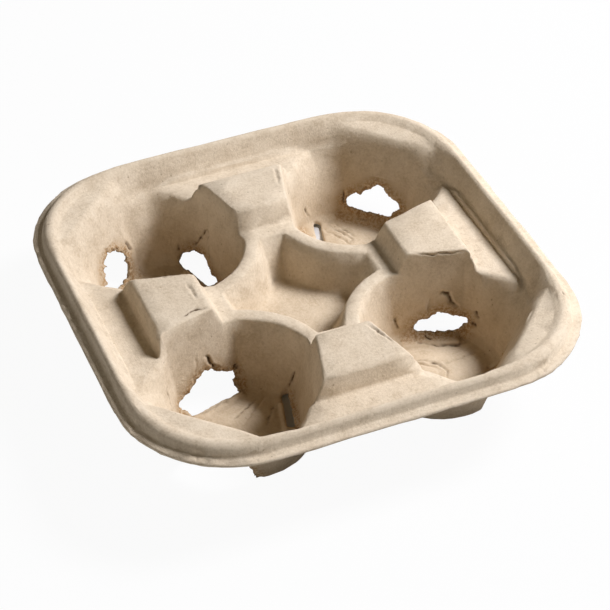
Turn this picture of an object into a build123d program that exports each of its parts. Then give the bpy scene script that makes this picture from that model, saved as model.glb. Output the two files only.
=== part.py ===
from build123d import *
import os
from math import atan, degrees, sqrt

# A four-cup carrier tray moulded in one piece from paper pulp.
# The sheet is the solid below the moulded face, less the same solid with every face
# moved one wall thickness into the material.
# Millimetres, +Z up, origin under the middle of the four feet.

# Overall sheet
TRAY_SIDE = 216.0
TRAY_HEIGHT = 48.0
PULP_WALL = 2.0

# Rim: a raised crest, a leaning skirt outside it and an out-turned lip below
LIP_CORNER_RADIUS = 53.0
LIP_WIDTH = 3.4
SKIRT_DROP = 7.4
SKIRT_FLARE = 1.4
CREST_WIDTH = 6.4
CREST_SHOULDER = 1.9
CREST_BEVEL = 1.2

# Bowl inside the rim, with a flat shelf left across each corner
DECK_DEPTH = 11.5
BOWL_SIDE_SLOPE = 0.8
SHELF_DEPTH = 1.0
SHELF_EDGE_REACH = 108.2
SHELF_EDGE_SLOPE = 0.8
SHELF_EDGE_BEVEL = 1.5
LEDGE_LENGTH = 62.0
LEDGE_WIDTH = 6.5
LEDGE_RISE = 3.8
LEDGE_RAMP = 9.0

# Cup wells: round cones, each flattened by three spring panels
WELL_CENTRE = 48.0
WELL_DECK_RADIUS = 36.5
WELL_FLOOR_RADIUS = 29.5
WELL_FLOOR_BEVEL = 2.6
MOUND_RISE = 3.0
MOUND_RADIUS = 21.0
MOUND_SLOPE = 0.23
MOUND_SIDES = 24
PANEL_FLATNESS = 4.8
PANELS_PER_WELL = 3

# Floor of a well: a step at the foot of each panel and three grooves from the middle
STEP_RISE = 1.6
STEP_HALF_LENGTH = 14.0
STEP_STARTS = (23.5, 18.0, 18.0)
GROOVE_WIDTH = 1.3
GROOVE_DEPTH = 0.8
GROOVE_REACH = 24.0

# Pillars at the middle of each side
PILLAR_TOP_DEPTH = 1.4
PILLAR_INNER = 47.5
PILLAR_OUTER = 75.5
PILLAR_WIDTH = 50.0
PILLAR_INNER_SLOPE = 0.4
PILLAR_OUTER_SLOPE = 0.25
PILLAR_TOP_ROUND = 2.5

# Recess in the middle of the deck
RECESS_DEPTH = 20.0
RECESS_REACH = 36.5
RECESS_END_SLOPE = 0.55
DECK_STRIP = 6.5
RECESS_SIDE_SLOPE = 0.35

# Torn slots under the spring panels: how far a tear cuts outward through the wall,
# how wide a slit in the floor is, and where the plain tears begin
TEAR_REACH = 20.0
SLIT_WIDTH = 3.2
PLAIN_START = 21.0

# Heights that follow
DECK_Z = TRAY_HEIGHT - DECK_DEPTH
SHELF_Z = TRAY_HEIGHT - SHELF_DEPTH
PILLAR_Z = TRAY_HEIGHT - PILLAR_TOP_DEPTH
RECESS_Z = DECK_Z - RECESS_DEPTH
LIP_Z = TRAY_HEIGHT - SKIRT_DROP
ABOVE = TRAY_HEIGHT + 10.0
BELOW = -10.0

# Places that follow
RIM_CORNER = TRAY_SIDE / 2 - LIP_CORNER_RADIUS
SKIRT_FOOT = TRAY_SIDE / 2 - LIP_WIDTH
CREST_INNER = SKIRT_FOOT - SKIRT_FLARE - CREST_WIDTH


class LeaningWall:
    """How far a leaning wall stands from its axis at any height."""

    def __init__(self, height, reach, slope):
        self.height = height
        self.start = reach
        self.slope = slope
        self.lean = degrees(atan(slope))

    def reach(self, z, growth=0.0):
        return self.start + self.slope * (z - self.height) + growth * sqrt(1 + self.slope**2)


SKIRT = LeaningWall(LIP_Z, SKIRT_FOOT, -SKIRT_FLARE / SKIRT_DROP)
BOWL_SIDE = LeaningWall(TRAY_HEIGHT, CREST_INNER, BOWL_SIDE_SLOPE)
SHELF_EDGE = LeaningWall(SHELF_Z, SHELF_EDGE_REACH, SHELF_EDGE_SLOPE)
WELL_SLOPE = (WELL_DECK_RADIUS - WELL_FLOOR_RADIUS) / (DECK_Z - PULP_WALL)
WELL_SIDE = LeaningWall(DECK_Z, WELL_DECK_RADIUS, WELL_SLOPE)
WELL_PANEL = LeaningWall(DECK_Z, WELL_DECK_RADIUS - PANEL_FLATNESS, WELL_SLOPE)
PILLAR_INSIDE = LeaningWall(PILLAR_Z, PILLAR_INNER, PILLAR_INNER_SLOPE)
PILLAR_OUTSIDE = LeaningWall(PILLAR_Z, PILLAR_OUTER, -PILLAR_OUTER_SLOPE)
RECESS_END = LeaningWall(DECK_Z, RECESS_REACH, RECESS_END_SLOPE)
RECESS_SIDE = LeaningWall(DECK_Z, WELL_DECK_RADIUS + DECK_STRIP, -RECESS_SIDE_SLOPE)


class Tear:
    """A torn slot: its well, its panel, where it begins, its outline on the panel and how far it cuts.

    Wells are counted from the +X +Y one, panels from the well's outer corner.
    The outline runs along the panel and up from the well's floor.
    """

    def __init__(self, corner, panel, start, outline, reach=TEAR_REACH):
        self.corner = corner
        self.panel = panel
        self.start = start
        self.outline = outline
        self.reach = reach


PLAIN_TEAR = [(-10, -3), (10, -3), (9, 2.5), (-9, 2.5)]
HIGH_TEAR = [(-10, 8), (10, 8), (8, 13), (-8, 13)]
TEARS = [
    Tear(0, 0, 22.0, [
        (14.9, 8.6), (12.4, 11.7), (10.2, 13.4), (7.3, 13.3), (2.8, 17.1), (-0.1, 19.5), (-2.8, 19.6), (-7.5, 15.3),
        (-11.9, 13.7), (-14.2, 12), (-10.3, 8.3), (-8.9, 5.8), (-5.3, 4.8), (3.3, 4.9), (13.1, 5.7),
    ]),
    Tear(0, 1, 13.3, [(-25, -3), (-6, -3), (-6, 3), (-25, 3)], SLIT_WIDTH),
    Tear(0, 2, PLAIN_START, PLAIN_TEAR),
    Tear(1, 0, 21.0, [
        (-5.2, 18.4), (-7.1, 15.9), (-10.4, 14.1), (-9.1, 9.7), (-10, 5.5), (-6.9, 2.4), (0.1, 2.3), (4.4, 3.6),
        (11, 7), (15.4, 8.6), (15.8, 11), (12, 11.4), (9.9, 16), (9.9, 18.2), (6.2, 17.2), (6, 19.4), (1.6, 21.5),
    ]),
    Tear(1, 1, PLAIN_START, PLAIN_TEAR),
    Tear(1, 2, 20.0, [
        (-3.2, -3), (22.5, -3), (22.4, 4.9), (19.6, 5.9), (17.7, 7.4), (13, 7.5), (9.8, 8.2), (5.6, 4.4),
        (1.5, 2.3), (-3.2, 2.2),
    ]),
    Tear(2, 0, 17.5, [(-16, -3), (17.5, -3), (17.5, 1), (14, 10), (10, 13), (-8, 12), (-14, 6)]),
    Tear(2, 1, 19.6, [(-2, -3), (20, -3), (21, 3), (-2, 3)], SLIT_WIDTH),
    Tear(2, 2, 20.5, [
        (-0.5, 15.5), (-3.6, 14.5), (-6.4, 11.5), (-9.4, 9.5), (-14.8, 8.4), (-14.8, 5.2), (-13, -3),
        (10.5, -3), (14.9, 2.4), (16.7, 4.5), (15.1, 6.2), (7.8, 10), (4.3, 13.6), (1.3, 14.8),
    ]),
    Tear(3, 0, PLAIN_START, HIGH_TEAR),
    Tear(3, 1, 21.0, [
        (7.1, 5.4), (5.1, 7.8), (-1.5, 9.8), (-3.4, 11.7), (-6.8, 12.9), (-10.6, 10.9), (-14.4, 8.9), (-20.1, 8.6),
        (-16.3, 3.4), (-11.9, 2.1), (-8.1, 2), (-2.8, 2), (1.8, 3.8), (5.6, 3.6),
    ]),
    Tear(3, 2, PLAIN_START, PLAIN_TEAR),
]


def rim_slab(half, low, high, lean=0.0):
    """A rounded square about the tray's axis, concentric with the rim's corners."""
    outline = RectangleRounded(2 * half, 2 * half, half - RIM_CORNER)
    return extrude(Pos(0, 0, low) * outline, amount=high - low, taper=lean)


def around_sides(shape):
    """The shape made for the +X side, repeated on all four sides."""
    return [Rot(0, 0, 90 * side) * shape for side in range(4)]


def well_place(corner):
    """The place of one well, its outer corner along the local +X."""
    return Rot(0, 0, 45 + 90 * corner) * Pos(WELL_CENTRE * sqrt(2), 0, 0)


def at_wells(shape):
    """The shape made about one well's axis, set in all four wells."""
    return [well_place(corner) * shape for corner in range(4)]


def panel_turn(panel):
    """The turn about a well's axis from its outer corner to one of its panels."""
    return Rot(0, 0, 360 / PANELS_PER_WELL * panel)


def outer_body():
    """Everything under the rim's outer face, down past the feet."""
    lip = rim_slab(TRAY_SIDE / 2, BELOW, LIP_Z + PULP_WALL)
    skirt = rim_slab(SKIRT.reach(LIP_Z), LIP_Z, TRAY_HEIGHT, -SKIRT.lean)
    return lip + skirt


def inner_body():
    """The open space under the rim, the same face moved in by the wall."""
    below_lip = rim_slab(TRAY_SIDE / 2 - BELOW, 2 * BELOW, LIP_Z)
    under_skirt = rim_slab(SKIRT.reach(DECK_Z, -PULP_WALL), DECK_Z, TRAY_HEIGHT - PULP_WALL, -SKIRT.lean)
    return below_lip + under_skirt


def bowl(inset):
    """The hollow inside the rim, down to the deck."""
    floor = DECK_Z - inset
    return rim_slab(BOWL_SIDE.reach(floor, inset), floor, ABOVE, -BOWL_SIDE.lean)


def shelves(inset):
    """Four corner shelves with bevelled front edges, running out under the crest."""
    low = DECK_Z - inset - PULP_WALL
    high = SHELF_Z - inset
    reach = SHELF_EDGE.reach(low, inset)
    across = Pos(0, 0, low) * Rot(0, 0, 45)
    open_middle = extrude(across * Rectangle(2 * reach, 2 * reach), amount=ABOVE - low, taper=-SHELF_EDGE.lean)
    block = extrude(across * Rectangle(4 * reach, 4 * reach), amount=high - low) - open_middle
    front_edges = block.edges().group_by(Axis.Z)[-1].sort_by(SortBy.LENGTH)[:4]
    block = chamfer(front_edges, SHELF_EDGE_BEVEL)
    return block & rim_slab(CREST_INNER + CREST_WIDTH / 2, low, high)


def pillar(inset):
    """One pillar of the +X side, still square where the wells will round it."""
    low = DECK_Z - inset - PULP_WALL
    high = PILLAR_Z - inset
    profile = Polygon(
        (PILLAR_INSIDE.reach(low, inset), low),
        (PILLAR_OUTSIDE.reach(low, -inset), low),
        (PILLAR_OUTSIDE.reach(high, -inset), high),
        (PILLAR_INSIDE.reach(high, inset), high),
        align=None,
    )
    return extrude(Plane.XZ * profile, amount=PILLAR_WIDTH / 2 - inset, both=True)


def rounded_pillar():
    """The pillar under the upper face, with its top edges rounded."""
    block = pillar(0.0)
    return fillet(block.edges().group_by(Axis.Z)[-1], PILLAR_TOP_ROUND)


def ledge(inset):
    """The step at the foot of the +X rim wall, behind the pillar."""
    low = DECK_Z - inset - PULP_WALL
    high = DECK_Z + LEDGE_RISE - inset
    inner = BOWL_SIDE.reach(DECK_Z + LEDGE_RISE) - LEDGE_WIDTH + inset
    outer = CREST_INNER
    half = LEDGE_LENGTH / 2 - inset
    ramp = LEDGE_RAMP / LEDGE_RISE * (high - low)
    side = Polygon((-half - ramp, low), (half + ramp, low), (half, high), (-half, high), align=None)
    return extrude(Plane.YZ.offset(inner) * side, amount=outer - inner)


def well(inset):
    """One cup well, its outer corner along +X."""
    floor = PULP_WALL - inset
    round_floor = Circle(WELL_SIDE.reach(floor, inset))
    flats = RegularPolygon(WELL_PANEL.reach(floor, inset), PANELS_PER_WELL, major_radius=False, rotation=180)
    hollow = extrude(Pos(0, 0, floor) * (round_floor & flats), amount=ABOVE - floor, taper=-WELL_SIDE.lean)
    floor_edge = hollow.edges().group_by(Axis.Z)[0]
    hollow = chamfer(floor_edge, WELL_FLOOR_BEVEL)
    mound = RegularPolygon(MOUND_RADIUS, MOUND_SIDES)
    hollow -= extrude(Pos(0, 0, floor) * mound, amount=MOUND_RISE, taper=degrees(atan(1 / MOUND_SLOPE)))
    return hollow - floor_steps(inset)


def floor_steps(inset):
    """The raised steps at the feet of a well's panels."""
    low = BELOW
    high = PULP_WALL + STEP_RISE - inset
    steps = []
    for panel, start in enumerate(STEP_STARTS):
        inner = start + inset
        block = Box(WELL_DECK_RADIUS - inner, 2 * (STEP_HALF_LENGTH - inset), high - low)
        middle = Pos((WELL_DECK_RADIUS + inner) / 2, 0, (low + high) / 2)
        steps.append(panel_turn(panel) * middle * block)
    return steps


def floor_grooves():
    """The three grooves in a well's floor, from its middle to the lobes between its panels."""
    lane = Pos(GROOVE_REACH / 2, 0, 0) * Box(GROOVE_REACH, GROOVE_WIDTH, TRAY_HEIGHT)
    half_turn = 180 / PANELS_PER_WELL
    lanes = [panel_turn(panel) * Rot(0, 0, half_turn) * lane for panel in range(PANELS_PER_WELL)]
    return Pos(0, 0, -GROOVE_DEPTH) * well(0.0) & Compound(children=lanes)


def recess(inset):
    """The four-pointed hollow in the middle of the deck, its sides round the wells."""
    floor = RECESS_Z - inset
    top = DECK_Z + PULP_WALL
    half = RECESS_END.reach(floor, inset)
    block = extrude(Pos(0, 0, floor) * Rectangle(2 * half, 2 * half), amount=top - floor, taper=-RECESS_END.lean)
    low_radius = RECESS_SIDE.reach(floor, -inset)
    high_radius = RECESS_SIDE.reach(top, -inset)
    island = Cone(low_radius, high_radius, top - floor, align=(Align.CENTER, Align.CENTER, Align.MIN))
    return block - at_wells(Pos(0, 0, floor) * island)


def moulded_form(rim, post, inset):
    """The rim with its shelves and pillars standing and its hollows cut, moved in by `inset`."""
    form = rim + shelves(inset)
    form += around_sides(post)
    form += around_sides(ledge(inset))
    form -= at_wells(well(inset))
    form -= recess(inset)
    return form


def moulded_face():
    """The solid under the upper face."""
    rim = chamfer(outer_body().edges().group_by(Axis.Z)[-1], CREST_SHOULDER) - bowl(0.0)
    crest_inside = rim.faces().sort_by(Axis.Z)[-1].inner_wires()[0].edges()
    rim = chamfer(crest_inside, CREST_BEVEL)
    return moulded_form(rim, rounded_pillar(), 0.0)


def moulded_underside():
    """The open space under the sheet."""
    return moulded_form(inner_body() - bowl(PULP_WALL), pillar(PULP_WALL), PULP_WALL)


def tear_cutter(tear):
    """The solid that takes one torn slot out of a well's wall and floor."""
    outline = Plane.YZ.offset(tear.start) * Polygon(*tear.outline, align=None)
    cutter = Pos(0, 0, PULP_WALL) * extrude(outline, amount=tear.reach)
    return well_place(tear.corner) * panel_turn(tear.panel) * cutter


def cup_carrier():
    sheet = moulded_face() - moulded_underside()
    sheet -= at_wells(floor_grooves())
    return sheet - [tear_cutter(tear) for tear in TEARS]


os.makedirs("parts", exist_ok=True)
tray = cup_carrier()
tray.label = "cup_carrier"
export_step(tray, "parts/cup_carrier.step")
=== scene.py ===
import math

import bmesh
import bpy
from mathutils import Euler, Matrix, Vector, geometry, kdtree, noise


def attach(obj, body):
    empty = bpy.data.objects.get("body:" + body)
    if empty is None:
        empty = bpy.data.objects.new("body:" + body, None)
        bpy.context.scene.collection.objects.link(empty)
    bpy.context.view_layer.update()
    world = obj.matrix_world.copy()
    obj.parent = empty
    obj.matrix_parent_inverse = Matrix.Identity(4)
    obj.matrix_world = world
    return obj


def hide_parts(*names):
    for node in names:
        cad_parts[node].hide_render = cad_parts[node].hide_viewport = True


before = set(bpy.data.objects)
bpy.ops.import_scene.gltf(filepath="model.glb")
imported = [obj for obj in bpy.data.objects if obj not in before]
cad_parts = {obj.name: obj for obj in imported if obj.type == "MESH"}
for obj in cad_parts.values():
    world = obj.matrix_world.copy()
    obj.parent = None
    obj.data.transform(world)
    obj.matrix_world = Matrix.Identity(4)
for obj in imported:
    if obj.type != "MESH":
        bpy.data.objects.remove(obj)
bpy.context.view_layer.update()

MM = 0.001

# Camera of the photograph, in the part's frame
CAMERA_PLACE = (-0.2679, -0.6559, 0.6303)
CAMERA_TURN = (49.33, 0.42, -22.73)
CAMERA_LENS = 118.6
CAMERA_SENSOR = 36.0
CAMERA_FAR = 20.0

# The tray's own places, in millimetres
WELL_CENTRE = 48.0
WELL_MOUTH_RADIUS = 37.0
DECK_LEVEL = 36.5
PANEL_AT_DECK = 31.7
PANEL_SLOPE = 0.2
PANEL_BAND = (10.0, 42.0)
FLOOR_LEVEL = 2.0
WALL = 2.0
CREST_INSIDE = 97.0
LEDGE_BAND = (88.0, 98.0)
LEDGE_LEVELS = (33.5, 43.0)
RIM_CORNER = 55.0
LIP_EDGE = 105.5
TEAR_TOP = 26.0
SHELF_LEVEL = 47.0
SHELF_EDGE_SLOPE = 0.8
# Between these levels the wells turn darker and browner towards the bottom: partly painted shade, partly
# the pulp's browner tone there
DEEP_LEVEL = 8.0
SHALLOW_LEVEL = 42.0

# Grooves of the well floors, and their distance from the well's axis and level along the way
GROOVE_WIDTH = 0.7
GROOVE_DEPTH = 0.4
# How dark the grooves are: painted shade in their cores, brown stain around them
GROOVE_SHADE_AND_STAIN = 0.3
GROOVE_PROFILE = ((1.0, 5.0), (8.0, 5.0), (21.0, 2.0), (24.0, 2.0))

# How far side walls, ledges, shelves and corner walls move: stops of a place and what holds there
SIDE_SHIFTS = ((79.0, 0.0), (84.1, 9.2), (90.6, 4.4), (96.8, 3.5), (103.2, 0.0))
SIDE_FADE = ((44.0, 1.0), (62.0, 0.0))
SIDE_RISE = ((12.0, 0.0), (35.0, 1.0))
LEDGE_SINK = ((83.0, 0.0), (84.1, 2.0), (90.6, 2.0), (96.8, 0.0))
SHELF_SINK = 1.6
SHELF_FADE = ((48.0, 0.0), (58.0, 1.0))
SHELF_BORDER = ((96.5, 1.0), (98.5, 0.0))
SHELF_RISE = ((41.0, 0.0), (45.0, 1.0))
CORNER_PUSH = 4.5
CORNER_LOW = 14.0
CORNER_DEPTH = ((3.0, 1.0), (7.0, 0.0))
CORNER_FADE = ((12.0, 1.0), (26.0, 0.0))

# How the sheet is softened and thinned
MERGE_GAP = 0.01
VOXEL = 0.75
SMOOTH_SHARE = 0.5
LIGHT_SMOOTH_STEPS = 2
DECK_SMOOTH_STEPS = 3
LEDGE_SMOOTH_STEPS = 4
TRIANGLE_BUDGET = 150000
FINE_EDGE = 0.45

# Uneven pulp surface: how far it stands off, and how wide its waves are
WAVE_HEIGHT = 0.25
WAVE_WIDTH = 16.0
LUMP_HEIGHT = 0.10
LUMP_WIDTH = 4.0

# Torn edges: where they lie across the wall, how far they stray, and how wide their teeth are
CUT_INSIDE = 0.4
CUT_OUTSIDE = 0.6
CUT_FACING = 0.55
TOOTH_REACH = 1.1
TOOTH_WIDTH = 2.6
FRINGE_REACH = 0.5
FRINGE_WIDTH = 0.9
FRAY_TAPER = 4.0
EDGE_THINNING = 0.55
EDGE_TAPER = 1.8
BROWNED_REACH = 9.0

# Ragged lip: how far it strays, and how wide its teeth and frayed patches are
LIP_REACH = 0.55
LIP_TOOTH_WIDTH = 3.6
LIP_PATCH = 22.0
LIP_PATCH_SHARE = 0.3
LIP_RESTORE = 0.6

# Creases: how their lines wander and weaken
CREASE_STRAY = 0.8
CREASE_WAVE = 3.0
CREASE_END_RISE = 4.0
CREASE_END_LEAST = 0.1
CREASE_STRENGTH = 0.8
CREASE_UNEVEN = 0.5
CREASE_UNEVEN_WAVE = 0.6 * CREASE_WAVE

# Creases across their line, in widths: raised shoulders, the core's painted shade and the brown stain of
# its halo, and what is kept fine
SHOULDER_PLACE = 1.8
SHOULDER_SPREAD = 0.5
SHOULDER_HEIGHT = 0.25
CORE_WIDTH = 0.7
CORE_SHADE_SHARE = 0.7
HALO_WIDTH = 1.6
HALO_STAIN_SHARE = 0.3
REFINED_WIDTHS = 2.6
PRESSED_WIDTHS = 3.0
KEPT_WIDTHS = 4.0

# Colours of the pulp, with painted shade deep in the wells and in the creases' cores
PULP_TONES = [(0.38, (0.52, 0.42, 0.30)), (0.50, (0.64, 0.535, 0.40)), (0.62, (0.72, 0.615, 0.475))]
# Painted shade deep in the wells, partly also the browner tone of the pulp there
DEEP_SHADE_AND_BROWN = (0.46, 0.33, 0.19)
PALE_FIBRE = (0.74, 0.64, 0.51)
DARK_SPECK = (0.22, 0.15, 0.09)
TORN_BROWN = (0.34, 0.21, 0.10)
# Painted shade in the cores of cracks and creases, and the brown stain around them
CRACK_SHADE_AND_STAIN = (0.09, 0.055, 0.03)
BUMP_HEIGHT = 0.45

# White floor, and the spots under two slits where it shows its shadow: middles and radii in millimetres
FLOOR_HALF_SIDE = 6.0
FLOOR_GREY = (0.6, 0.6, 0.6)
FLOOR_GLOW = 0.95
WHITE = (1.0, 1.0, 1.0)
SPOT_EDGE = 1.0
FLOOR_UNDER_SLITS = (
    (37.0, 64.5, 6.0),
    (39.0, 72.0, 6.0),
    (-27.2, -51.5, 6.0),
    (-25.1, -43.8, 6.0),
    (-22.8, -35.0, 6.5),
)


def heading(turn):
    """The flat direction at this turn from +X."""
    return Vector((math.cos(turn), math.sin(turn)))


def well_turn(corner):
    """The turn from +X to a well; wells are counted from the +X +Y one."""
    return math.radians(45 + 90 * corner)


def well_middle(corner):
    """Where a well's axis is, in millimetres."""
    return heading(well_turn(corner)) * WELL_CENTRE * math.sqrt(2)


class TornPlace:
    """Where a panel is torn: its well and panel, the tear's middle along and up the panel, and its reach.

    Panels are counted from the well's outer corner.
    """

    def __init__(self, corner, panel, along, up, reach):
        self.well = well_middle(corner)
        self.out = heading(well_turn(corner) + math.radians(120 * panel))
        self.side = Vector((-self.out.y, self.out.x))
        self.along = along
        self.up = up
        self.reach = reach

    def local(self, place):
        """Millimetres along the panel, out from the well's axis and up from its floor."""
        flat = place.xy / MM - self.well
        return flat.dot(self.side), flat.dot(self.out), place.z / MM - FLOOR_LEVEL

    def holds(self, place):
        """Whether a place is within the tear's reach, on its panel."""
        along, out, up = self.local(place)
        near = math.hypot(along - self.along, up - self.up) < self.reach
        return near and PANEL_BAND[0] < out < PANEL_BAND[1]

    def cut_edge(self, place, normal):
        """Whether a place is on the torn edge, inside the wall's thickness."""
        out = self.local(place)[1]
        panel = PANEL_AT_DECK + PANEL_SLOPE * (place.z / MM - DECK_LEVEL)
        inside = panel - CUT_INSIDE < out < panel + WALL + CUT_OUTSIDE
        return inside and abs(normal.xy.dot(self.out)) < CUT_FACING


TORN_PLACES = [
    TornPlace(0, 0, 0.0, 11.0, 21.0),
    TornPlace(0, 1, -15.0, 0.0, 14.0),
    TornPlace(0, 2, 0.0, 0.0, 14.0),
    TornPlace(1, 0, 3.0, 11.0, 21.0),
    TornPlace(1, 1, 0.0, 0.0, 14.0),
    TornPlace(1, 2, 9.0, 3.0, 19.0),
    TornPlace(2, 0, 1.0, 5.0, 22.0),
    TornPlace(2, 1, 9.0, 1.0, 15.0),
    TornPlace(2, 2, 1.0, 6.0, 20.0),
    TornPlace(3, 0, 0.0, 10.5, 16.0),
    TornPlace(3, 1, -6.0, 6.0, 20.0),
    TornPlace(3, 2, 0.0, 0.0, 14.0),
]


class Crease:
    """A fold or crack: its width and depth in millimetres, how dark its painted shade and brown stain
    are, and the points of its line.
    """

    def __init__(self, width, depth, shade_and_stain, *line):
        self.width = width
        self.depth = depth
        self.shade_and_stain = shade_and_stain
        self.points = [Vector(point) * MM for point in line]
        self.runs = list(zip(self.points, self.points[1:]))
        self.length = sum((end - start).length for start, end in self.runs)

    def samples(self):
        """Points close together along the line."""
        for start, end in self.runs:
            count = math.ceil((end - start).length / (self.width * MM))
            for step in range(count + 1):
                yield start.lerp(end, step / count)

    def nearest(self, place):
        """Distance from the line in widths, and the share of the line passed by then."""
        found = []
        passed = 0.0
        for start, end in self.runs:
            share = geometry.intersect_point_line(place, start, end)[1]
            share = min(max(share, 0.0), 1.0)
            gap = (place - start.lerp(end, share)).length
            run = (end - start).length
            found.append((gap / (self.width * MM), (passed + share * run) / self.length))
            passed += run
        return min(found)

    def pull(self, place):
        """Distance from the wandering line in widths, and how strong the crease is there."""
        stray = noise.noise_vector(place / (CREASE_WAVE * MM)) * CREASE_STRAY * MM
        gap, share = self.nearest(place + stray)
        ends = min(1.0, CREASE_END_RISE * min(share, 1.0 - share) + CREASE_END_LEAST)
        uneven = CREASE_STRENGTH + CREASE_UNEVEN * noise.noise(place / (CREASE_UNEVEN_WAVE * MM))
        return gap, ends * uneven


def floor_grooves():
    """The three grooves of each well's floor, from its middle to the lobes between its panels."""
    grooves = []
    for corner in range(4):
        well = well_middle(corner)
        for lane in range(3):
            out = heading(well_turn(corner) + math.radians(60 + 120 * lane))
            line = [(*(well + out * reach), level) for reach, level in GROOVE_PROFILE]
            grooves.append(Crease(GROOVE_WIDTH, GROOVE_DEPTH, GROOVE_SHADE_AND_STAIN, *line))
    return grooves


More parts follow.
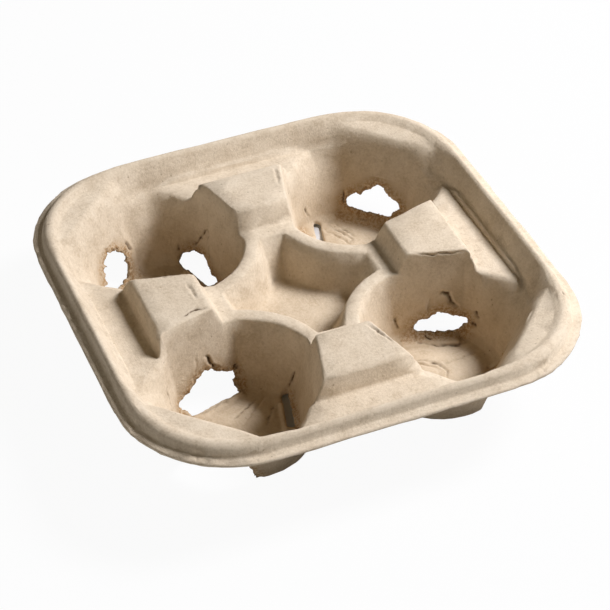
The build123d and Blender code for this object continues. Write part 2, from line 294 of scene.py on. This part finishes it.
# Points in millimetres, in the part's frame
CREASES = [
    # Back left well
    Crease(0.9, 0.8, 0.8, (-71.5, 69.0, 35.3), (-67.2, 70.8, 26.7), (-64.4, 71.9, 20.3)),
    Crease(0.7, 0.4, 0.35, (-73.4, 68.6, 37.3), (-75.3, 65.8, 36.5), (-75.5, 63.2, 29.2)),
    Crease(0.9, 0.8, 1.0, (-59.0, 77.5, 21.5), (-57.9, 77.4, 17.1), (-56.9, 77.4, 13.8)),
    Crease(0.6, 0.4, 0.5, (-58.7, 79.8, 28.5), (-56.8, 80.6, 24.5), (-49.1, 81.7, 23.0),
           (-42.6, 81.0, 21.5)),
    Crease(0.8, 0.6, 0.9, (-33.1, 75.8, 12.1), (-34.0, 75.3, 8.0)),
    Crease(0.8, 0.6, 0.7, (-28.4, 72.3, 10.8), (-25.2, 69.6, 16.6), (-22.0, 65.2, 26.0),
           (-21.9, 63.1, 23.9)),
    Crease(0.6, 0.3, 0.4, (-22.1, 64.9, 25.0), (-23.1, 60.8, 15.3), (-23.5, 58.9, 10.8)),
    # Back right well
    Crease(1.1, 0.9, 0.8, (66.7, 70.7, 24.6), (68.9, 69.9, 29.4), (71.2, 67.9, 30.7),
           (72.6, 66.0, 28.6), (73.3, 63.8, 23.7)),
    Crease(0.7, 0.5, 0.6, (69.5, 68.7, 27.6), (69.9, 66.9, 22.6)),
    Crease(0.6, -0.4, 0.0, (73.7, 63.5, 23.8), (80.3, 56.8, 23.5)),
    Crease(0.5, -0.25, 0.0, (39.9, 80.7, 22.9), (48.4, 81.7, 23.0)),
    Crease(0.7, 0.5, 0.7, (56.1, 79.4, 18.0), (55.7, 77.2, 8.9)),
    Crease(0.6, 0.4, 0.7, (33.2, 76.3, 14.1), (36.3, 76.0, 6.4)),
    Crease(0.8, 0.5, 0.5, (57.5, 71.6, 3.1), (64.9, 65.8, 4.0)),
    Crease(0.7, 0.5, 0.5, (44.7, 73.6, 1.9), (47.8, 64.4, 3.0), (49.8, 54.0, 5.0), (46.2, 52.1, 4.8)),
    Crease(0.7, 0.5, 0.4, (48.4, 74.6, 2.1), (50.4, 64.1, 3.0), (52.2, 54.6, 4.8)),
    # Front right well
    Crease(0.9, 0.6, 0.6, (46.2, -21.8, 4.3), (47.8, -27.1, 3.6), (55.8, -32.1, 3.0), (65.0, -34.5, 2.5),
           (72.6, -33.9, 3.3)),
    Crease(0.7, 0.6, 0.6, (41.2, -38.0, 4.0), (49.2, -45.9, 5.1), (51.2, -51.2, 5.1), (48.6, -56.7, 4.8)),
    Crease(0.6, 0.4, 0.3, (67.0, -46.2, 2.3), (75.3, -45.3, 2.2)),
    Crease(0.6, 0.4, 0.3, (69.4, -54.0, 1.9), (77.7, -50.8, 4.0)),
    Crease(1.1, 0.9, 0.8, (60.3, -21.2, 23.6), (62.2, -21.4, 25.0), (64.8, -22.3, 24.1),
           (66.4, -23.8, 18.8), (69.4, -25.3, 15.8)),
    Crease(0.9, 0.4, 0.4, (56.7, -20.4, 23.0), (55.3, -21.7, 14.8)),
    Crease(1.0, 0.8, 0.9, (75.2, -30.1, 17.1), (75.5, -33.0, 13.2)),
    Crease(0.9, 0.6, 0.7, (39.5, -17.5, 14.4), (41.3, -19.4, 7.9)),
    Crease(1.0, 0.6, 1.0, (73.1, -29.9, 9.2), (75.2, -33.9, 9.9)),
    Crease(0.8, 0.6, 1.0, (52.6, -23.8, 4.0), (54.7, -28.0, 3.6)),
    # Front left well
    Crease(0.8, 0.5, 0.5, (-41.8, -23.8, 2.0), (-49.6, -29.0, 3.6), (-59.2, -31.4, 3.4),
           (-65.1, -31.7, 3.1)),
    Crease(0.8, 0.5, 0.5, (-34.6, -30.4, 1.9), (-42.8, -37.7, 4.2), (-52.1, -44.2, 5.2)),
    Crease(0.8, 0.5, 0.5, (-28.3, -36.7, 2.0), (-34.1, -45.0, 3.7), (-39.7, -53.0, 4.5)),
    Crease(1.0, 0.8, 0.9, (-54.2, -19.1, 25.7), (-52.4, -19.9, 19.9), (-48.9, -19.9, 15.2)),
    Crease(0.7, 0.3, 0.25, (-59.1, -20.1, 27.1), (-60.8, -22.5, 18.1)),
    Crease(0.9, 0.8, 1.0, (-40.3, -17.9, 13.8), (-39.1, -18.2, 10.7)),
    Crease(0.6, 0.3, 0.4, (-74.3, -27.5, 21.5), (-60.6, -22.9, 16.0)),
    Crease(0.8, 0.4, 0.5, (-77.1, -30.6, 24.0), (-77.6, -34.0, 12.0)),
    Crease(0.7, 0.6, 0.9, (-17.6, -36.2, 17.6), (-21.0, -33.7, 3.7)),
    # Grooves of the floors
    *floor_grooves(),
    # Pillar tops
    Crease(0.7, 0.4, 0.5, (-69.6, 18.8, 46.6), (-60.8, 15.9, 46.6), (-53.0, 13.4, 46.6)),
    Crease(0.9, 0.6, 0.5, (-52.6, 7.1, 46.6), (-52.4, 0.4, 46.6), (-51.6, -4.9, 46.6)),
    Crease(0.6, 0.5, 0.9, (-63.2, -14.1, 46.6), (-56.7, -11.3, 46.6), (-50.6, -12.1, 46.6),
           (-49.6, -13.8, 45.0)),
    Crease(0.9, 0.5, 0.35, (16.6, 72.2, 46.6), (13.7, 60.1, 46.6)),
    Crease(0.6, 0.4, 0.6, (49.6, -12.4, 46.6), (57.0, -15.8, 45.0), (65.9, -18.2, 45.1),
           (74.0, -20.4, 44.8)),
    Crease(0.9, 0.7, 0.6, (10.9, -49.9, 46.6), (13.4, -57.1, 46.6), (15.6, -61.7, 46.6),
           (16.3, -66.9, 46.6)),
    # Rim
    Crease(0.8, 0.4, 0.5, (100.2, -64.8, 48.0), (99.1, -68.8, 48.0)),
    Crease(0.5, 0.5, 0.9, (72.3, -100.7, 44.3), (70.5, -105.7, 42.2)),
    Crease(0.5, 0.5, 0.9, (-104.5, -66.4, 44.5), (-105.7, -69.3, 42.6)),
    Crease(0.5, 0.5, 0.9, (-85.4, -94.0, 43.5), (-87.1, -96.9, 42.6)),
    Crease(0.5, 0.5, 0.9, (-63.5, -104.4, 43.5), (-63.8, -107.2, 42.4)),
]


class Value:
    """A shader socket that takes part in sums."""

    def __init__(self, nodes, socket):
        self.nodes = nodes
        self.socket = socket

    def math(self, operation, *others):
        """The outcome of one operation on this value and the others."""
        return self.nodes.add("ShaderNodeMath", {"operation": operation}, [self, *others])[0]

    def __add__(self, other):
        return self.math("ADD", other)

    def __radd__(self, other):
        return self.math("ADD", other)

    def __sub__(self, other):
        return self.math("SUBTRACT", other)

    def __rsub__(self, other):
        return self.nodes.add("ShaderNodeMath", {"operation": "SUBTRACT"}, [other, self])[0]

    def __mul__(self, other):
        return self.math("MULTIPLY", other)

    def __rmul__(self, other):
        return self.math("MULTIPLY", other)

    def above(self, low, high):
        """0 under low, 1 over high, smooth between."""
        settings = {"interpolation_type": "SMOOTHSTEP"}
        sockets = {"Value": self, "From Min": low, "From Max": high}
        return self.nodes.add("ShaderNodeMapRange", settings, sockets)[0]


class Nodes:
    """The nodes of a material or world."""

    def __init__(self, owner):
        owner.use_nodes = True
        self.tree = owner.node_tree
        self.tree.nodes.clear()

    def add(self, kind, settings=None, sockets=None):
        """A node of that kind, with its settings, then its socket values or links; gives its outputs."""
        node = self.tree.nodes.new(kind)
        for key, value in (settings or {}).items():
            if key == "stops":
                self.set_stops(node.color_ramp, value)
            else:
                setattr(node, key, value)
        pairs = enumerate(sockets) if isinstance(sockets, list) else (sockets or {}).items()
        for key, value in pairs:
            self.connect(node.inputs[key], value)
        return [Value(self, socket) for socket in node.outputs if socket.enabled]

    def set_stops(self, ramp, stops):
        """Gives a colour ramp these places and colours."""
        while len(ramp.elements) < len(stops):
            ramp.elements.new(1.0)
        for element, (place, colour) in zip(ramp.elements, stops):
            element.position = place
            element.color = (*colour, 1.0)

    def connect(self, socket, value):
        """Links a value to a socket, or sets a constant on it."""
        if isinstance(value, Value):
            self.tree.links.new(value.socket, socket)
        elif isinstance(value, tuple) and socket.type == "RGBA":
            socket.default_value = (*value, 1.0)
        else:
            socket.default_value = value

    def mix(self, factor, low, high):
        """A colour between low and high."""
        return self.add("ShaderNodeMix", {"data_type": "RGBA"}, {0: factor, 6: low, 7: high})[0]

    def mix_shaders(self, factor, low, high):
        """A surface between low and high."""
        return self.add("ShaderNodeMixShader", None, [factor, low, high])[0]

    def seen(self):
        """1 for rays that show a surface to the camera, straight or by a mirror."""
        rays = self.add("ShaderNodeLightPath")
        camera, glossy, transmission = rays[0], rays[3], rays[6]
        return camera.math("MAXIMUM", glossy).math("MAXIMUM", transmission)

    def object_place(self):
        """Places in the object's own frame."""
        return self.add("ShaderNodeTexCoord")[3]

    def marked(self, name):
        """The value that the mesh keeps under this name."""
        return self.add("ShaderNodeAttribute", {"attribute_name": name})[2]


def pulp_material():
    """Matte grey-brown moulded pulp: mottled and flecked, darker and browner deep in the wells (partly
    painted shade, partly the pulp's browner tone there), browner along tears, with painted shade in the
    creases' cores and brown stain around them.
    """
    material = bpy.data.materials.new("moulded_pulp")
    nodes = Nodes(material)
    place = nodes.object_place()

    def cloud(scale, detail=4.0, roughness=0.6):
        """Soft uneven patches."""
        sockets = {"Vector": place, "Scale": scale, "Detail": detail, "Roughness": roughness}
        return nodes.add("ShaderNodeTexNoise", None, sockets)[0]

    def fibres(turn, scale):
        """Thin streaks that lie one way."""
        sockets = {"Vector": place, "Rotation": turn, "Scale": (1.0, 0.12, 0.5)}
        stretched = nodes.add("ShaderNodeMapping", None, sockets)[0]
        sockets = {"Vector": stretched, "Scale": scale, "Detail": 3.0, "Roughness": 0.5}
        return nodes.add("ShaderNodeTexNoise", None, sockets)[0].above(0.60, 0.72)

    broad = cloud(22.0, 3.0)
    blotch = cloud(140.0)
    grain = cloud(750.0, 5.0, 0.7)
    fine = cloud(2200.0, 3.0, 0.7)
    streaks = fibres((0.2, 0.1, 0.5), 900.0) + fibres((0.4, -0.3, 1.7), 1000.0)
    streaks = streaks + fibres((-0.5, 0.6, 2.7), 1100.0)

    tone = broad * 0.2 + blotch * 0.35 + grain * 0.45
    mottled = nodes.add("ShaderNodeValToRGB", {"stops": PULP_TONES}, {"Fac": tone})[0]
    level = nodes.add("ShaderNodeSeparateXYZ", None, [place])[2]
    # Darker and browner towards the wells' bottoms: partly painted shade, partly the pulp's browner tone
    deep_shade_and_brown = 1.0 - level.above(DEEP_LEVEL * MM, SHALLOW_LEVEL * MM)
    base = nodes.mix(deep_shade_and_brown * 0.3, mottled, DEEP_SHADE_AND_BROWN)
    flecked = nodes.mix(streaks * 0.12, base, PALE_FIBRE)
    spots = nodes.add("ShaderNodeTexVoronoi", None, {"Vector": place, "Scale": 420.0})
    pick = nodes.add("ShaderNodeSeparateColor", None, {"Color": spots[1]})[0]
    ragged = spots[0] + (grain - 0.5) * 0.5
    speck = (1.0 - ragged.above(0.08, 0.22)) * pick.above(0.92, 0.95)
    specked = nodes.mix(speck * 0.45, flecked, DARK_SPECK)

    torn = nodes.marked("torn")
    crease = nodes.marked("crease")
    stained = torn.above(0.05, 0.9) * (0.25 + 0.75 * grain.above(0.42, 0.58))
    browned = nodes.mix(stained, specked, TORN_BROWN)
    # Creases: painted shade in the dark core, brown stain in the halo
    colour = nodes.mix(crease.above(0.0, 0.8), browned, CRACK_SHADE_AND_STAIN)

    height = blotch * 0.35 + grain * 0.45 + fine * 0.15 + streaks * 0.05
    sockets = {"Strength": 1.0, "Distance": BUMP_HEIGHT * MM, "Height": height}
    bump = nodes.add("ShaderNodeBump", None, sockets)[0]
    sockets = {"Base Color": colour, "Normal": bump, "Roughness": 0.95, "Specular IOR Level": 0.15}
    shader = nodes.add("ShaderNodeBsdfPrincipled", None, sockets)[0]
    nodes.add("ShaderNodeOutputMaterial", None, {"Surface": shader})
    return material


def applied(piece):
    """The piece with its modifiers made part of its mesh."""
    depsgraph = bpy.context.evaluated_depsgraph_get()
    mesh = bpy.data.meshes.new_from_object(piece.evaluated_get(depsgraph))
    old = piece.data
    piece.modifiers.clear()
    piece.data = mesh
    bpy.data.meshes.remove(old)


def well_distance(place):
    """Distance in millimetres from the axis of the nearest well."""
    across = abs(abs(place.x) / MM - WELL_CENTRE)
    along = abs(abs(place.y) / MM - WELL_CENTRE)
    return math.hypot(across, along)


def rim_reach(place):
    """Distance in millimetres from the tray's axis, measured square to the rounded rim."""
    across = abs(place.x) / MM
    along = abs(place.y) / MM
    corner = math.hypot(max(across - RIM_CORNER, 0.0), max(along - RIM_CORNER, 0.0))
    return max(across, along, RIM_CORNER + corner)


def softened_deck(place):
    """Whether this place is part of the deck, pillars or recess, away from tears and rim."""
    inside = rim_reach(place) < CREST_INSIDE
    clear_of_tears = place.z > TEAR_TOP * MM or well_distance(place) > WELL_MOUTH_RADIUS
    return inside and clear_of_tears


def on_ledge(place):
    """Whether this place is near a ledge at the foot of the rim's inner wall."""
    level = place.z / MM
    reach = max(abs(place.x), abs(place.y)) / MM
    return LEDGE_BAND[0] < reach < LEDGE_BAND[1] and LEDGE_LEVELS[0] < level < LEDGE_LEVELS[1]


def between(value, stops):
    """The value that the stops give, straight from stop to stop."""
    for (low, start), (high, end) in zip(stops, stops[1:]):
        if value <= high:
            share = min(max((value - low) / (high - low), 0.0), 1.0)
            return start + (end - start) * share
    return stops[-1][1]


def widen_sides(shape):
    """Moves the inner walls of the four sides and their ledges out to a narrow crest, above the wells."""
    for vert in shape.verts:
        x, y, z = vert.co / MM
        across = max(abs(x), abs(y))
        along = min(abs(x), abs(y))
        share = between(along, SIDE_FADE) * between(z, SIDE_RISE)
        shift = between(across, SIDE_SHIFTS) * share * MM
        if abs(x) > abs(y):
            vert.co.x += math.copysign(shift, x)
        else:
            vert.co.y += math.copysign(shift, y)
        vert.co.z -= between(across, LEDGE_SINK) * share * MM


def sink_shelves(shape):
    """Sets the corner shelves a little deeper, so that the crest stands over them."""
    for vert in shape.verts:
        x, y, z = vert.co / MM
        corner = between(min(abs(x), abs(y)), SHELF_FADE)
        inside = between(rim_reach(vert.co), SHELF_BORDER)
        vert.co.z -= SHELF_SINK * corner * inside * between(z, SHELF_RISE) * MM


def straighten_corners(shape):
    """Straightens each well's outer panel on its way up to the corner shelf, and fades into the lobes."""
    for vert in shape.verts:
        x, y, z = vert.co / MM
        reach = (abs(x) + abs(y)) / math.sqrt(2)
        aside = abs(abs(x) - abs(y)) / math.sqrt(2)
        slope = PANEL_SLOPE if z < DECK_LEVEL else SHELF_EDGE_SLOPE
        wall = WELL_CENTRE * math.sqrt(2) + PANEL_AT_DECK + slope * (z - DECK_LEVEL)
        rise = (z - CORNER_LOW) / (DECK_LEVEL - CORNER_LOW)
        fall = (SHELF_LEVEL - z) / (SHELF_LEVEL - DECK_LEVEL)
        near_wall = between(abs(reach - wall - 0.5 * WALL), CORNER_DEPTH)
        near_middle = between(aside, CORNER_FADE)
        shift = CORNER_PUSH * max(min(rise, fall), 0.0) * near_wall * near_middle / math.sqrt(2) * MM
        vert.co.x += math.copysign(shift, x)
        vert.co.y += math.copysign(shift, y)


def torn_place(place):
    """The torn place that holds this place, if any."""
    if place.z > TEAR_TOP * MM:
        return None
    for torn in TORN_PLACES:
        if torn.holds(place):
            return torn
    return None


def smooth(shape, verts, steps):
    """Evens out these points, so many times."""
    axes = {"use_axis_x": True, "use_axis_y": True, "use_axis_z": True}
    for step in range(steps):
        bmesh.ops.smooth_vert(shape, verts=verts, factor=SMOOTH_SHARE, **axes)


def soften(shape):
    """Rounds the sheet's edges, most on the deck, the pillars and the ledges."""
    smooth(shape, shape.verts[:], LIGHT_SMOOTH_STEPS)
    smooth(shape, [vert for vert in shape.verts if softened_deck(vert.co)], DECK_SMOOTH_STEPS)
    smooth(shape, [vert for vert in shape.verts if on_ledge(vert.co)], LEDGE_SMOOTH_STEPS)


def roughen(shape):
    """Gives the sheet the uneven surface of pulp."""
    shape.normal_update()
    for vert in shape.verts:
        wave = noise.noise(vert.co / (WAVE_WIDTH * MM)) * WAVE_HEIGHT
        lump = noise.noise(vert.co / (LUMP_WIDTH * MM)) * LUMP_HEIGHT
        vert.co += vert.normal * (wave + lump) * MM


def fray_lip(shape):
    """Brings the lip's edge back out where softening drew it in, and frays it in patches."""
    for vert in shape.verts:
        if rim_reach(vert.co) > LIP_EDGE:
            out = Vector((vert.co.x, vert.co.y, 0.0)).normalized()
            patch = max(0.0, noise.noise(vert.co / (LIP_PATCH * MM)) + LIP_PATCH_SHARE)
            stray = noise.noise_vector(vert.co / (LIP_TOOTH_WIDTH * MM)) * LIP_REACH * patch
            vert.co += (out * LIP_RESTORE + stray) * MM


def vertex_tree(verts):
    """A tree that finds the nearest of these points."""
    tree = kdtree.KDTree(len(verts))
    for index, vert in enumerate(verts):
        tree.insert(vert.co, index)
    tree.balance()
    return tree


def near_crease(tree, crease, widths):
    """Indices of the points within so many widths of a crease."""
    found = set()
    for sample in crease.samples():
        found.update(index for place, index, gap in tree.find_range(sample, crease.width * widths * MM))
    return found


def refine_creases(shape):
    """Makes the mesh finer along the creases."""
    shape.verts.ensure_lookup_table()
    tree = vertex_tree(shape.verts)
    close = set()
    for crease in CREASES:
        close |= near_crease(tree, crease, REFINED_WIDTHS)
    shape.verts.index_update()
    edges = [
        edge for edge in shape.edges
        if edge.calc_length() > FINE_EDGE * MM and all(vert.index in close for vert in edge.verts)
    ]
    bmesh.ops.subdivide_edges(shape, edges=edges, cuts=1)
    bmesh.ops.triangulate(shape, faces=[face for face in shape.faces if len(face.verts) > 3])


def tear_edges(shape):
    """Frays and thins the torn edges, and marks how near each place is to one."""
    torn = shape.verts.layers.float.new("torn")
    shape.normal_update()
    places = [(vert, torn_place(vert.co)) for vert in shape.verts]
    places = [(vert, place) for vert, place in places if place]
    cut = [vert for vert, place in places if place.cut_edge(vert.co, vert.normal)]
    tree = vertex_tree(cut)
    moves = []
    for vert, place in places:
        gap = tree.find(vert.co)[2] / MM
        vert[torn] = max(0.0, 1.0 - gap / BROWNED_REACH)
        tooth = noise.noise_vector(vert.co / (TOOTH_WIDTH * MM)) * TOOTH_REACH
        fringe = noise.noise_vector(vert.co / (FRINGE_WIDTH * MM)) * FRINGE_REACH
        stray = (tooth + fringe) * max(0.0, 1.0 - gap / FRAY_TAPER)
        face_on = abs(vert.normal.xy.dot(place.out))
        thin = vert.normal * face_on * EDGE_THINNING * max(0.0, 1.0 - gap / EDGE_TAPER)
        moves.append((vert, (stray - thin) * MM))
    for vert, move in moves:
        vert.co += move


def press_creases(shape):
    """Presses the creases into the sheet and marks their painted shade in the core and brown stain around
    it.
    """
    shade_and_stain = shape.verts.layers.float.new("crease")
    shape.verts.ensure_lookup_table()
    shape.normal_update()
    tree = vertex_tree(shape.verts)
    for crease in CREASES:
        for index in near_crease(tree, crease, PRESSED_WIDTHS):
            vert = shape.verts[index]
            gap, strength = crease.pull(vert.co)
            dip = math.exp(-gap * gap)
            shoulder = math.exp(-((gap - SHOULDER_PLACE) ** 2) / SHOULDER_SPREAD) * SHOULDER_HEIGHT
            # The core is painted shade, the halo brown stain
            core = CORE_SHADE_SHARE * math.exp(-((gap / CORE_WIDTH) ** 2))
            halo = HALO_STAIN_SHARE * math.exp(-((gap / HALO_WIDTH) ** 2))
            vert[shade_and_stain] = max(vert[shade_and_stain], (core + halo) * crease.shade_and_stain * strength)
            vert.co += vert.normal * (shoulder - dip) * crease.depth * strength * MM


def stand(shape):
    """Keeps the feet on the table."""
    for vert in shape.verts:
        vert.co.z = max(vert.co.z, 0.0)


def plain_places(mesh):
    """Indices of the points that are near no tear and no crease."""
    tree = vertex_tree(mesh.vertices)
    fine = {vert.index for vert in mesh.vertices if torn_place(vert.co)}
    for crease in CREASES:
        fine |= near_crease(tree, crease, KEPT_WIDTHS)
    return [vert.index for vert in mesh.vertices if vert.index not in fine]


def reshape(mesh, *steps):
    """Takes a mesh through the steps in turn."""
    shape = bmesh.new()
    shape.from_mesh(mesh)
    for step in steps:
        step(shape)
    shape.to_mesh(mesh)
    shape.free()


def merge(shape):
    """Joins points that lie on each other."""
    bmesh.ops.remove_doubles(shape, verts=shape.verts[:], dist=MERGE_GAP * MM)


def placed(name, data):
    """A new object with this data, in the scene."""
    item = bpy.data.objects.new(name, data)
    bpy.context.scene.collection.objects.link(item)
    return item


def pulp_tray():
    """The tray's sheet, softened from its solid."""
    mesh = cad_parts["cup_carrier"].data.copy()
    mesh.materials.clear()
    piece = placed("pulp_tray", mesh)
    reshape(piece.data, merge)
    remesh = piece.modifiers.new("sheet", "REMESH")
    remesh.mode = "VOXEL"
    remesh.voxel_size = VOXEL * MM
    applied(piece)
    reshape(piece.data, straighten_corners, sink_shelves, widen_sides, soften, roughen, fray_lip)
    plain = piece.vertex_groups.new(name="plain")
    plain.add(plain_places(piece.data), 1.0, "REPLACE")
    triangles = 2 * len(piece.data.polygons)
    thin = piece.modifiers.new("thin", "DECIMATE")
    thin.ratio = min(1.0, TRIANGLE_BUDGET / triangles)
    thin.vertex_group = "plain"
    applied(piece)
    piece.vertex_groups.clear()
    reshape(piece.data, refine_creases, tear_edges, press_creases, stand)
    piece.data.materials.append(pulp_material())
    piece.data.shade_smooth()
    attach(piece, "root")
    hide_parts("cup_carrier")


def pale_floor():
    """A white floor that takes a faint shadow, and a full one close under two slits."""
    mesh = bpy.data.meshes.new("floor")
    shape = bmesh.new()
    bmesh.ops.create_grid(shape, x_segments=1, y_segments=1, size=FLOOR_HALF_SIDE)
    shape.to_mesh(mesh)
    shape.free()
    floor = placed("floor", mesh)
    material = bpy.data.materials.new("floor_white")
    nodes = Nodes(material)
    matte = nodes.add("ShaderNodeBsdfPrincipled", None, {"Base Color": FLOOR_GREY, "Roughness": 0.9})[0]
    glow = nodes.add("ShaderNodeEmission", None, {"Color": WHITE, "Strength": 1.0})[0]
    parts = nodes.add("ShaderNodeSeparateXYZ", None, [nodes.object_place()])
    lit = nodes.seen() * FLOOR_GLOW
    for x, y, radius in FLOOR_UNDER_SLITS:
        across = parts[0] - x * MM
        along = parts[1] - y * MM
        gap = (across * across + along * along).math("SQRT")
        lit = lit * gap.above(radius * MM, (radius + SPOT_EDGE) * MM)
    surface = nodes.mix_shaders(lit, matte, glow)
    nodes.add("ShaderNodeOutputMaterial", None, {"Surface": surface})
    mesh.materials.append(material)


def soft_lamp(name, place, size, power, colour=WHITE):
    """A square lamp that faces the tray."""
    light = bpy.data.lights.new(name, "AREA")
    light.size = size
    light.energy = power
    light.color = colour
    lamp = placed(name, light)
    lamp.location = place
    lamp.rotation_euler = (-Vector(place)).to_track_quat("-Z", "Y").to_euler()


def studio():
    """One soft lamp high on the right, a weak low one on the left, and an even dim surround."""
    soft_lamp("key", place=(1.023, -0.036, 1.097), size=0.42, power=36.0, colour=(0.94, 0.945, 1.0))
    soft_lamp("fill", place=(-1.3, -0.62, 0.36), size=0.6, power=3.5)
    world = bpy.data.worlds.new("studio")
    bpy.context.scene.world = world
    nodes = Nodes(world)
    dim = nodes.add("ShaderNodeBackground", None, {"Color": (1.0, 0.68, 0.2), "Strength": 0.05})[0]
    white = nodes.add("ShaderNodeBackground", None, {"Color": WHITE, "Strength": 1.0})[0]
    surface = nodes.mix_shaders(nodes.seen(), dim, white)
    nodes.add("ShaderNodeOutputWorld", None, {"Surface": surface})


def photo_camera():
    """The camera that sees the tray as the photograph does."""
    data = bpy.data.cameras.new("photo_camera")
    data.lens = CAMERA_LENS
    data.sensor_width = CAMERA_SENSOR
    data.clip_end = CAMERA_FAR
    camera = placed("photo_camera", data)
    camera.location = CAMERA_PLACE
    camera.rotation_euler = Euler([math.radians(angle) for angle in CAMERA_TURN], "XYZ")
    bpy.context.scene.camera = camera


bpy.context.scene.view_settings.view_transform = "Standard"
pulp_tray()
pale_floor()
studio()
photo_camera()
